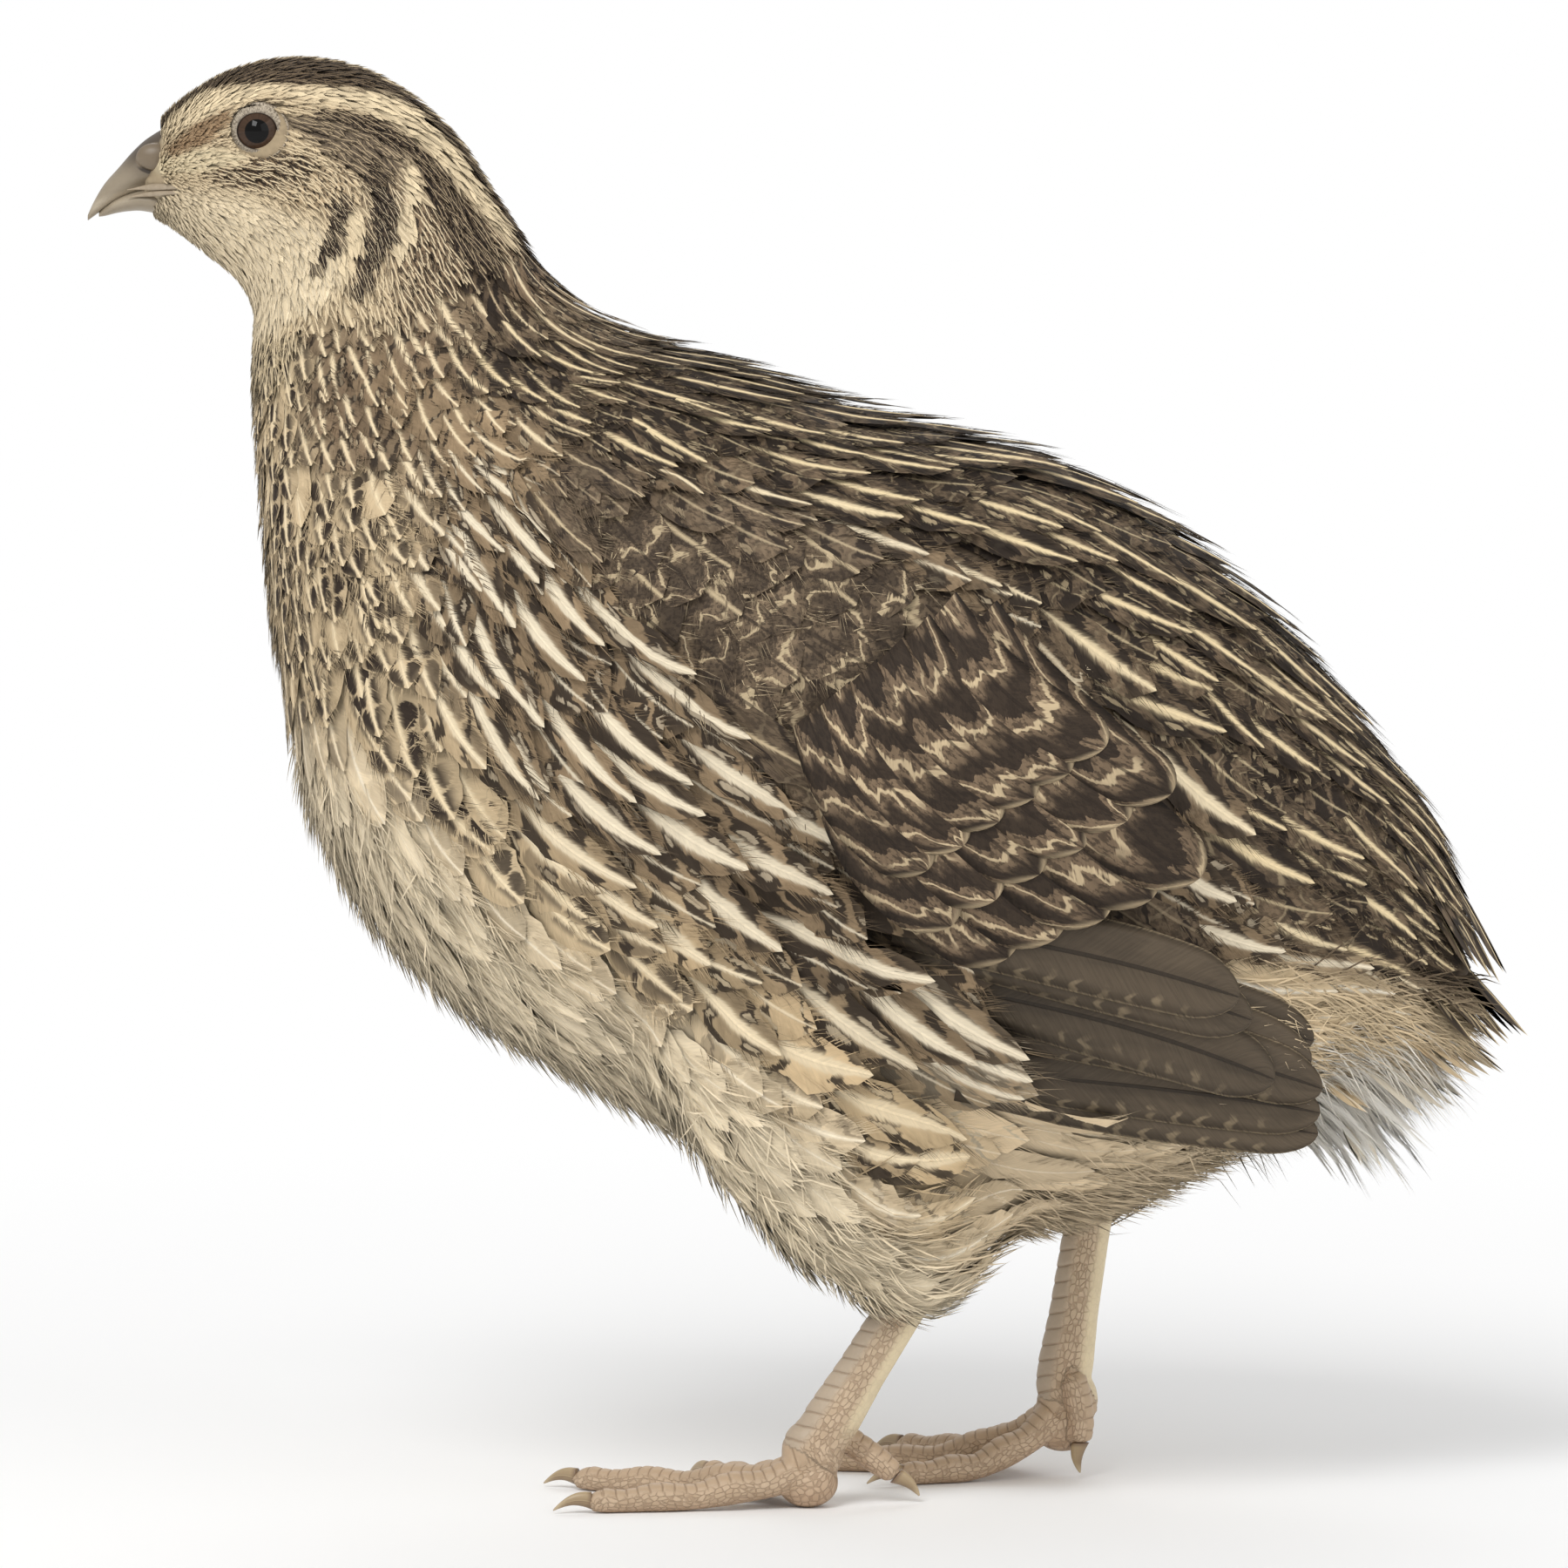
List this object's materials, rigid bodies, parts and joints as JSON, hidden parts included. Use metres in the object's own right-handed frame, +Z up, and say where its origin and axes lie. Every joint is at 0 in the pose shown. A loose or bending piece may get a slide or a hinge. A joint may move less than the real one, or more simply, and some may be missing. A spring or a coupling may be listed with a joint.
{
  "type": "quail model",
  "caption": "Life-size still model of a coturnix quail standing in a short stride, with folded wings.",
  "frame": {"origin": "on the floor under the middle of the bird's length and width", "axes": "+Z up, the bill points to -X, the bird's left side faces -Y"},
  "size_m": [0.1525, 0.0724, 0.1538],
  "materials": {
    "face_feathers": "short soft feathers, cream and brown",
    "neck_feathers": "soft feathers, brown with pale shafts",
    "body_feathers": "soft feathers, cream below and streaked dark above",
    "back_feathers": "soft feathers, dark with cream shafts",
    "wing_feathers": "smooth flight feathers and coverts, grey brown",
    "belly_down": "loose down, pale buff",
    "bill_horn": "grey horn with a slight sheen",
    "claw_horn": "brown horn with a slight sheen",
    "leg_skin": "scaly skin, pale flesh",
    "eye": "wet and glossy, dark brown"
  },
  "bodies": {
    "root": {"bill_lower": "bill_horn", "bill_upper": "bill_horn", "claw_inner_left": "claw_horn", "claw_inner_right": "claw_horn", "claw_middle_left": "claw_horn", "claw_middle_right": "claw_horn", "claw_outer_left": "claw_horn", "claw_outer_right": "claw_horn", "claw_rear_left": "claw_horn", "claw_rear_right": "claw_horn", "eye_left": "eye", "eye_right": "eye", "head": "face_feathers", "neck": "neck_feathers", "tail": "back_feathers", "tarsus_left": "leg_skin", "tarsus_right": "leg_skin", "thigh_left": "belly_down", "thigh_right": "belly_down", "toe_inner_left": "leg_skin", "toe_inner_right": "leg_skin", "toe_middle_left": "leg_skin", "toe_middle_right": "leg_skin", "toe_outer_left": "leg_skin", "toe_outer_right": "leg_skin", "toe_rear_left": "leg_skin", "toe_rear_right": "leg_skin", "torso": "body_feathers", "wing_left": "wing_feathers", "wing_right": "wing_feathers"}
  },
  "joints": []
}
